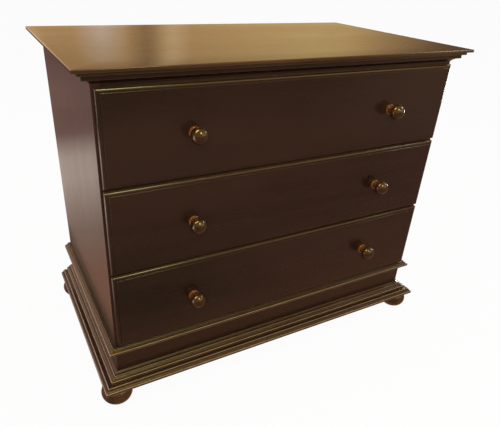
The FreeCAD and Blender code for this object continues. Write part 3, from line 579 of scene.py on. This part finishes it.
# %% [markdown]
# ## Drawer fronts
# Each front is a board with a lip that laps over the case. A thumbnail moulding runs round its edge: a
# quarter round, a narrow flat and a small step up to the field. Behind the lip a tongue fits inside the
# opening. From back to front that is again a stack of rectangular rings. The upper edge gets the full lighter
# edge colour, wear from hands and dusters and a painted highlight as if lit from above, and the other three
# get a little.

# %% Lipped drawer fronts
TONGUE, LAP, SIDE_LAP = 7.5, 9, 6.4
THUMB, THUMB_LOW, THUMB_HIGH, THUMB_STEPS = 6, 4.7, 10.7, 8
FIELD_INSET, FIELD_FROM, FIELD_HIGH = 8.5, 11, 12.5
# Shares of the lighter edge colour, for wear and a painted highlight.
LIP_WEAR_AND_HIGHLIGHT, ROUND_WEAR_AND_HIGHLIGHT, FIELD_WEAR_AND_HIGHLIGHT = 0.6, 0.6, 0.08
# The second number: how much of the painted corner shade the upper edge loses.
SLIGHT_WEAR_AND_HIGHLIGHT, CORNER_SHADE_LIFTED, LEVEL = 0.06, 0.9, 0.2
FINE_ARRIS, LIP_CORNER = 0.35, 1.2


def drawer_front(number):
    """Rings at (inset, depth) of the softened lip profile, with the tongue behind it.

    The edge colour, for rubbing and a painted highlight, is full where the edge faces up, sin(angle) = 1, and
    almost none on the other three edges, and the painted shade of inner corners is mostly taken off there.
    The tongue is narrower than the lip by SIDE_LAP more at its two ends.
    """
    low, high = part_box(f"drawer_{number}_front")
    lip_back = high.y - TONGUE * MM
    profile = np.vstack(([(FIELD, -TONGUE), (LAP, -TONGUE), (LAP, 0), (0, 0)],
                         bow((0, THUMB_LOW), (THUMB, THUMB_HIGH), (THUMB, THUMB_LOW), THUMB_STEPS),
                         [(FIELD_INSET, THUMB_HIGH), (FIELD_INSET, FIELD_HIGH), (FIELD, FIELD_HIGH)]))
    rounded = np.interp(np.arange(THUMB_STEPS + 1), (0, THUMB_STEPS / 2), (ROUND_WEAR_AND_HIGHLIGHT, 0.0))
    rub_and_light = np.concatenate((np.zeros(4), rounded, np.zeros(3)))
    radius = np.where(profile[:, 1] == FIELD_HIGH, FINE_ARRIS, ARRIS)
    points, wear_and_painted_light = soften(profile, radius, closed=False, rub_and_light=rub_and_light)
    inset, depth = points.T * MM
    tongue = (inset > (LAP - LEVEL) * MM) & (depth < LEVEL * MM)
    across = inset + np.where(tongue, SIDE_LAP * MM, 0)
    corner = np.maximum(LIP_CORNER * MM - inset, TIGHTEST * MM)
    x, z, angle = rectangles(low.x + across, high.x - across, low.z + inset, high.z - inset, corner)
    y = np.broadcast_to((lip_back - depth)[:, None], x.shape)
    # Painted highlight and wear are strongest on the upper edge, as if lit from above, and painted corner
    # shade is weakest there.
    lit_from_above = SLIGHT_WEAR_AND_HIGHLIGHT + (1 - SLIGHT_WEAR_AND_HIGHLIGHT) * np.maximum(np.sin(angle), 0) ** 2
    rubbed_and_lit = wear_and_painted_light * np.where(depth > FIELD_FROM * MM, FIELD_WEAR_AND_HIGHLIGHT, LIP_WEAR_AND_HIGHLIGHT)
    wear_and_painted_light = np.where(wear_and_painted_light[:, None] > 0, rubbed_and_lit[:, None] * lit_from_above, wear_and_painted_light[:, None] * (1 - CORNER_SHADE_LIFTED * lit_from_above))
    return skin(f"drawer_{number}_lipped_front", np.stack((x, y, z), axis=-1), wear_and_painted_light)


for number in DRAWERS:
    front = settle(drawer_front(number), f"drawer_{number}_front", front_wood)
    print(front.name, len(front.data.polygons), "faces")

# %% [markdown]
# ## Knobs and feet
# A turned piece is a profile of radius and height swung round the lathe's axis. The knob starts with a collar
# on the drawer, draws in to a waisted neck and spreads into a mushroom head. Collar and neck are painted
# orange, a painted amber highlight with some rubbed wood.

# %% Turned knobs
def turned(name, profile, centre, axis, ease, rub_and_light, around=72):
    """A surface of revolution: centre + axis * h + r * (cos a * side + sin a * other)."""
    points, wear_and_painted_light = soften(profile, ease, closed=False, rub_and_light=rub_and_light)
    r, h = points.T * MM
    angle = np.linspace(0, 2 * np.pi, around, endpoint=False)
    axis = np.array(axis, float)
    side = np.array((1.0, 0, 0))
    other = np.cross(axis, side)
    circle = np.cos(angle)[:, None] * side + np.sin(angle)[:, None] * other
    rings = np.array(centre) + h[:, None, None] * axis + r[:, None, None] * circle
    return skin(name, rings, np.repeat(wear_and_painted_light, around))


# Collar, neck, underside of the head, rim and dome, each as (radius, height).
knob = np.vstack(([(12, 0)], bow((12, 1.8), (9.4, 4.4), (9.4, 1.8), 6),
                  bow((7.6, 4.4), (10.5, 15.5), (30.293, 4.4), 14),
                  bow((10.5, 15.5), (17.4, 24.5), (10.5, 22.645), 14)[1:],
                  bow((17.4, 24.5), (17.26, 25.893), (10.4, 24.5), 4)[1:],
                  bow((17.26, 25.893), (0.3, 39.9974), (0, 22.388), 20)[1:]))
HEAD_FROM = 16
# Collar and neck: painted amber highlight with rubbed wood.
amber_highlight_and_rub = np.where(knob[:, 1] < HEAD_FROM, 0.65, 0.0)
for number in DRAWERS:
    for side in ("left", "right"):
        node = f"drawer_{number}_knob_{side}"
        low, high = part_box(node)
        centre = ((low.x + high.x) / 2, high.y, (low.z + high.z) / 2)
        piece = turned(f"drawer_{number}_turned_knob_{side}", knob, centre, (0, -1, 0), ease=0.4, rub_and_light=amber_highlight_and_rub)
        settle(piece, node, knob_wood)
print("knobs:", len(piece.data.polygons), "faces each")

# %% [markdown]
# The foot is a flattened ball on a flat sole, with a short neck and a round tenon that goes up into the base
# frame. Near the floor it is painted orange, a painted reflection of the floor, with some scuffing by
# brooms and shoes.

# %% Bun feet
foot = np.vstack((bow((12.5, 0), (35.5, 23), (12.5, 23), 22),
                  bow((35.5, 23), (20, 44.743), (12.5, 23), 22)[1:], [(20, 50), (11, 50), (11, 60)]))
# Low on the feet: painted orange reflection of the floor, with scuffing.
floor_reflection_and_scuff = np.interp(foot[:, 1], (4, 20), (0.75, 0.0))
for end in ("front", "rear"):
    for side in ("left", "right"):
        node = f"foot_{end}_{side}"
        low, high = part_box(node)
        centre = ((low.x + high.x) / 2, (low.y + high.y) / 2, low.z)
        piece = turned(f"bun_foot_{end}_{side}", foot, centre, (0, 0, 1), ease=0.5, rub_and_light=floor_reflection_and_scuff)
        settle(piece, node, foot_wood)
print("feet: 4, sole on", round(low.z, 4))

# %% [markdown]
# ## Boards that stay as the CAD made them
# Flat boards need no new shape, only eased edges and the right wood. Their CAD meshes are loose triangles, so
# a Weld modifier joins them before a Bevel rounds the arrises. Each board gets the wood whose grain runs
# along its length. The back panel isn't eased: between its rows of screw holes lie long thin triangles, and
# a Bevel would fold them into faint lines.

# %% Finishes for the boards
JOIN_WITHIN = 0.02 * MM
BOARD_ARRIS = 0.6 * MM


def dress(node, material):
    """Gives a CAD piece its finish."""
    nodes[node].data.materials.clear()
    nodes[node].data.materials.append(material)


def ease(node):
    """Rounds the arrises of a CAD board."""
    weld = nodes[node].modifiers.new("joined", "WELD")
    weld.merge_threshold = JOIN_WITHIN
    bevel = nodes[node].modifiers.new("eased", "BEVEL")
    bevel.width = BOARD_ARRIS
    bevel.segments = 2
    bevel.limit_method = "ANGLE"
    bevel.angle_limit = CREASE


boards = {"side_panel_left": side_wood, "side_panel_right": side_wood, "plinth_front": front_wood,
          "plinth_left": depth_wood, "plinth_right": depth_wood, "bottom_rail": front_wood,
          "drawer_rail_lower": front_wood, "drawer_rail_upper": front_wood, "top_rail": front_wood,
          "case_bottom": ply_across, "runners": inner_depth, "kickers": inner_depth,
          "drawer_stops": inner_across, "plinth_back": inner_across, "base_frame_back": inner_across,
          "corner_blocks": inner_upright}
for number in DRAWERS:
    boards[f"drawer_{number}_side_left"] = inner_depth
    boards[f"drawer_{number}_side_right"] = inner_depth
    boards[f"drawer_{number}_back"] = inner_across
    boards[f"drawer_{number}_bottom"] = ply_across
for node, wood in boards.items():
    dress(node, wood)
    ease(node)
dress("back_panel", ply_upright)
for node in ("back_screws", "drawer_1_knob_screws", "drawer_2_knob_screws", "drawer_3_knob_screws"):
    dress(node, steel)
shown = [name for name, piece in nodes.items() if not piece.hide_render]
print(len(boards), "boards eased; CAD nodes still shown:", len(shown))

# %% [markdown]
# ## The floor
# The chest stands on a plain pale floor that runs out to the horizon. To the camera and in reflections it is
# almost white, while for the light it bounces about it is an ordinary pale surface. Part of its own shading
# is kept, so the feet still stand in their shadow.

# %% Floor and world
FLOOR_REACH = 40.0
FLOOR_GLOW = 0.95


def in_sight(tree):
    """1 for rays that look, straight from the camera or by way of a reflection or glass, else 0."""
    path = add(tree, "ShaderNodeLightPath").outputs
    seen = maths(tree, "MAXIMUM", path["Is Camera Ray"], path["Is Glossy Ray"])
    return maths(tree, "MAXIMUM", seen, path["Is Transmission Ray"])


def pale_floor():
    """A flat square, twice FLOOR_REACH wide, with a nearly white surface."""
    mesh = bpy.data.meshes.new("floor")
    corner = np.array([(-1, -1, 0), (1, -1, 0), (1, 1, 0), (-1, 1, 0)]) * FLOOR_REACH
    mesh.from_pydata(corner.tolist(), [], [(0, 1, 2, 3)])
    floor = show("floor", mesh)
    material, tree = blank("pale_floor")
    matt = add(tree, "ShaderNodeBsdfDiffuse", {"Color": (0.86, 0.86, 0.86, 1)})
    glow = add(tree, "ShaderNodeEmission", {"Color": (1, 1, 1, 1), "Strength": 1.0})
    share = times(tree, in_sight(tree), FLOOR_GLOW)
    mixed = add(tree, "ShaderNodeMixShader", {0: share, 1: matt.outputs[0], 2: glow.outputs[0]})
    add(tree, "ShaderNodeOutputMaterial", {"Surface": mixed.outputs[0]})
    mesh.materials.append(material)
    floor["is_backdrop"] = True


def soft_world(strength):
    """An even sky: white where it is seen, and of the given strength where it only lights."""
    world = bpy.data.worlds.new("soft_room")
    bpy.context.scene.world = world
    world.use_nodes = True
    tree = world.node_tree
    tree.nodes.clear()
    level = between(tree, in_sight(tree), 0.0, 1.0, strength, 1.0)
    glow = add(tree, "ShaderNodeBackground", {"Color": (1, 1, 1, 1), "Strength": level})
    add(tree, "ShaderNodeOutputWorld", {"Surface": glow.outputs[0]})
    return world


pale_floor()
print("floor and", soft_world(strength=0.35).name)

# %% [markdown]
# ## Lamps
# Two large softboxes light the chest evenly, one high in front on the left and one overhead. They stay out of
# the reflections, because the next step makes those on its own.

# %% Softboxes
def stand(thing, place, right, up, back):
    """Places a lamp or a camera by the directions of its own three axes."""
    turn = Matrix(np.column_stack((right, up, back)).tolist()).to_4x4()
    thing.matrix_world = Matrix.Translation(place) @ turn


def softbox(name, place, target, size, power, colour):
    """A square area lamp at a place, aimed at a target: its back is (place - target) / length."""
    lamp = bpy.data.lights.new(name, "AREA")
    lamp.shape = "SQUARE"
    lamp.size = size
    lamp.energy = power
    lamp.color = colour
    holder = show(name, lamp)
    back = np.array(place, float) - np.array(target, float)
    back /= np.linalg.norm(back)
    right = np.cross((0, 0, 1), back)
    right /= np.linalg.norm(right)
    stand(holder, place, right, np.cross(back, right), back)
    holder.visible_glossy = False


softbox("key_lamp", (-1.7, -3.2, 2.3), (0, 0, 0.4), size=2.0, power=105, colour=(1.0, 0.95, 0.9))
softbox("overhead_lamp", (0.2, -0.3, 3.0), (0.2, -0.2, 0.4), size=1.6, power=30, colour=(1.0, 0.93, 0.84))
print("lamps:", [light.name for light in bpy.data.lights])

# %% [markdown]
# ## What the wood mirrors
# Polished wood shows what it mirrors as much as its own colour, so a room is painted for it on two paper
# surfaces: a sheet on the floor and a round screen with a canopy. Only reflections see them. They light
# nothing and hide nothing. The sheet is brown in front of the drawers, bright far out on the left and paler
# behind.

# %% Sheet on the floor
SHEET_REACH, SHEET_HEIGHT = 4.5, 0.0015
SHEET_BROWN = (0.33, 0.155, 0.09, 1)
# From the first y to the second the sheet changes to the colour.
SHEET_BANDS = (
    (-0.35, -0.65, (0.23, 0.128, 0.095, 1)),
    (-1.3, -1.9, (0.30, 0.175, 0.125, 1)),
    (0.0, 0.2, (0.37, 0.185, 0.125, 1)),
    (0.3, 0.6, (0.39, 0.27, 0.215, 1)),
    (0.6, 1.1, (0.80, 0.645, 0.55, 1)),
    (1.35, 1.72, (0.26, 0.145, 0.125, 1)))


def reflector(name, grid):
    """A sheet of quads through grid[i, j], marked as stage and seen by reflections alone.

    Returns the tree of its material and the sockets x, y, z of a place on it.
    """
    index = np.arange(grid[..., 0].size).reshape(grid.shape[:2])
    corners = (index[:-1, :-1], index[:-1, 1:], index[1:, 1:], index[1:, :-1])
    mesh = bpy.data.meshes.new(name)
    mesh.from_pydata(grid.reshape(-1, 3).tolist(), [], np.stack(corners, axis=-1).reshape(-1, 4).tolist())
    sheet = show(name, mesh)
    sheet.visible_camera = sheet.visible_diffuse = sheet.visible_shadow = False
    sheet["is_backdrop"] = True
    material, tree = blank(name)
    mesh.materials.append(material)
    place = add(tree, "ShaderNodeTexCoord").outputs["Object"]
    return tree, add(tree, "ShaderNodeSeparateXYZ", {0: place}).outputs


def inside(tree, value, zero_low, low, high, zero_high):
    """1 from low to high, falling to 0 at zero_low and zero_high."""
    return times(tree, between(tree, value, zero_low, low), between(tree, value, zero_high, high))


def shine(tree, colour):
    """Ends a reflector's material: plain emission of a colour."""
    glow = add(tree, "ShaderNodeEmission", {"Color": colour, "Strength": 1.0})
    add(tree, "ShaderNodeOutputMaterial", {"Surface": glow.outputs[0]})


def brown_sheet():
    """A flat square on the floor: bands across it, then a dim, a bright and a dark patch on the left."""
    reach = np.linspace(-SHEET_REACH, SHEET_REACH, 5)
    u, v = np.meshgrid(reach, reach)
    tree, (x, y, _) = reflector("brown_sheet", np.stack((u, v, np.full_like(u, SHEET_HEIGHT)), axis=-1))
    colour = SHEET_BROWN
    for start, end, paint in SHEET_BANDS:
        colour = blend(tree, between(tree, y, start, end), colour, paint)
    dim = times(tree, inside(tree, y, -0.85, -0.65, -0.5, -0.38), between(tree, x, 0.25, -0.1))
    colour = blend(tree, dim, colour, (0.10, 0.085, 0.055, 1))
    bright = times(tree, inside(tree, x, -2.4, -2.1, -0.95, -0.72), inside(tree, y, -0.65, -0.25, 0.25, 0.55))
    pale = blend(tree, between(tree, x, -1.2, -1.9), (1.2, 0.95, 0.85, 1), (6.6, 5.7, 5.3, 1))
    colour = blend(tree, bright, colour, pale)
    # The dark patch is painted shadow: the chest's shadow on the floor by its left end, as the base mirrors
    # it.
    dark = times(tree, inside(tree, x, -0.485, -0.465, -0.43, -0.40), between(tree, y, -0.3, -0.2))
    shine(tree, blend(tree, dark, colour, (0.06, 0.035, 0.025, 1)))


brown_sheet()
print("brown sheet with", len(SHEET_BANDS), "bands")

# %% [markdown]
# The screen is dark near the floor and golden above. On its wall are the soft lights and darks that the top
# shows, and a warm wall on the left for the mouldings there. Over them come the lights proper: a golden band
# in front with a brighter end for the upper edges of the drawers, and white panels on the right and left and
# a golden strip overhead for the glints on the knobs. The two low white panels end below the top, so it
# never mirrors them.

# %% Round screen
# A panel: its middle, half width and soft edge in degrees, low, high and soft edge in metres, share, colour.
WALL = (
    (50, 0, 22, 0.7, 1.6, 0.3, 1.0, (0.72, 0.50, 0.205, 1)),
    (84.5, 0, 4.5, 0.7, 1.05, 0.25, 1.0, (0.84, 0.69, 0.55, 1)),
    (77.5, 0, 3.5, 0.7, 1.6, 0.3, 0.75, (0.20, 0.125, 0.065, 1)),
    (73, 0, 3, 0.7, 1.6, 0.3, 0.5, (0.98, 0.74, 0.42, 1)),
    (14, 15, 15, 0.7, 1.6, 0.3, 0.95, (0.10, 0.065, 0.04, 1)),
    (133, 31, 8, 0.62, 1.8, 0.1, 1.0, (1.35, 0.93, 0.60, 1)),
    (-36, 8, 14, 0.0, 0.35, 0.15, 1.0, (0.28, 0.185, 0.135, 1)),
    (112, 10, 14, 0.0, 0.15, 0.3, 1.0, (0.30, 0.175, 0.15, 1)))
LIGHTS = (
    (-58, 22, 8, 1.2, 1.85, 0.12, 1.0, (1.9, 1.24, 0.62, 1)),
    (-92, 2, 11, 2.3, 2.75, 0.12, 1.0, (14.5, 15.5, 7.4, 1)),
    (20, 17, 4, 0.25, 0.66, 0.08, 1.0, (17.0, 16.4, 15.6, 1)),
    (-13, 4, 3, 1.8, 2.05, 0.1, 1.0, (12.0, 11.7, 11.2, 1)),
    (-174, 3, 2, 0.3, 0.66, 0.08, 1.0, (6.0, 5.7, 5.4, 1)))
NEAR_FLOOR, GOLDEN_WALL = (0.11, 0.075, 0.07, 1), (0.66, 0.405, 0.175, 1)
UPPER_WALL, CANOPY = (0.57, 0.35, 0.15, 1), (0.60, 0.41, 0.20, 1)
GOLDEN_STRIP = (20.0, 11.0, 1.8, 1)


def hang(tree, spot, colour, panels):
    """Paints panels over a colour: each counts where |turn - middle| and z lie inside its edges."""
    turn = maths(tree, "ARCTAN2", spot[1], spot[0])
    for middle, width, soft, low, high, rise, share, paint in panels:
        away = maths(tree, "ABSOLUTE", maths(tree, "SUBTRACT", turn, math.radians(middle)))
        across = between(tree, away, math.radians(width), math.radians(width + soft), 1.0, 0.0)
        upright = inside(tree, spot[2], low - rise, low, high, high + rise)
        colour = blend(tree, times(tree, across, upright, share), colour, paint)
    return colour


def round_screen(radius, height, crown, around=97, rows=9, dome_rows=13):
    """A cylinder with a domed canopy: r = radius * cos t, z = height + (crown - height) * sin t above it."""
    angle = np.linspace(-np.pi, np.pi, around)
    t = np.linspace(0, np.pi / 2, dome_rows)[1:]
    r = np.concatenate((np.full(rows, radius), radius * np.cos(t)))[:, None]
    z = np.concatenate((np.linspace(0, height, rows), height + (crown - height) * np.sin(t)))[:, None]
    grid = np.stack(np.broadcast_arrays(r * np.cos(angle), r * np.sin(angle), z), axis=-1)
    tree, spot = reflector("round_screen", grid)
    colour = blend(tree, between(tree, spot[2], 0.35, 0.85), NEAR_FLOOR, GOLDEN_WALL)
    colour = blend(tree, between(tree, spot[2], 1.0, 1.25), colour, UPPER_WALL)
    colour = hang(tree, spot, colour, WALL)
    colour = blend(tree, between(tree, spot[2], 1.6, 2.0), colour, CANOPY)
    colour = hang(tree, spot, colour, LIGHTS)
    aside = maths(tree, "ABSOLUTE", maths(tree, "ADD", spot[1], 0.15))
    strip = times(tree, between(tree, spot[0], -0.6, -0.8), between(tree, spot[2], 2.3, 2.6),
                  between(tree, aside, 0.5, 0.3))
    shine(tree, blend(tree, strip, colour, GOLDEN_STRIP))


round_screen(radius=2.4, height=1.8, crown=3.3)
print("round screen with", len(WALL) + len(LIGHTS), "panels")

# %% [markdown]
# ## The camera
# The camera stands close, a little above the top and to the left, and looks down across the drawer fronts.
# Its place, its direction and its lens come from matching corners of the chest with the same corners in the
# picture. The middle of that picture is a little off the lens axis, which the small shift takes up.

# %% Camera
RIGHT = np.array((0.88290125, -0.46730538, 0.04594635))
DOWN = np.array((-0.1899432, -0.44491924, -0.87519623))
AHEAD = np.array((0.42942632, 0.76398465, -0.48158124))
STAND = (-0.5914, -1.01999, 0.9073)
WIDTH, HEIGHT, FOCAL, MIDDLE_X, MIDDLE_Y = 500, 427, 479.153, 235.467, 223.861
lens = bpy.data.cameras.new("view")
lens.sensor_fit = "HORIZONTAL"
lens.sensor_width = 36.0
lens.lens = FOCAL * lens.sensor_width / WIDTH
lens.shift_x = (WIDTH / 2 - MIDDLE_X) / WIDTH
lens.shift_y = (MIDDLE_Y - HEIGHT / 2) / WIDTH
lens.clip_start = 0.01
camera = show("view", lens)
stand(camera, STAND, RIGHT, -DOWN, -AHEAD)
bpy.context.scene.camera = camera
bpy.context.scene.view_settings.view_transform = "Standard"
print("lens", round(lens.lens, 2), "mm, shift", round(lens.shift_x, 4), round(lens.shift_y, 4))

# %% [markdown]
# ## Last look at the size
# The dressed chest has to stay inside the box of the CAD model. Its size is printed.

# %% Finish
low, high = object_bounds()
print("size", [round(side / MM, 1) for side in high - low], "mm")
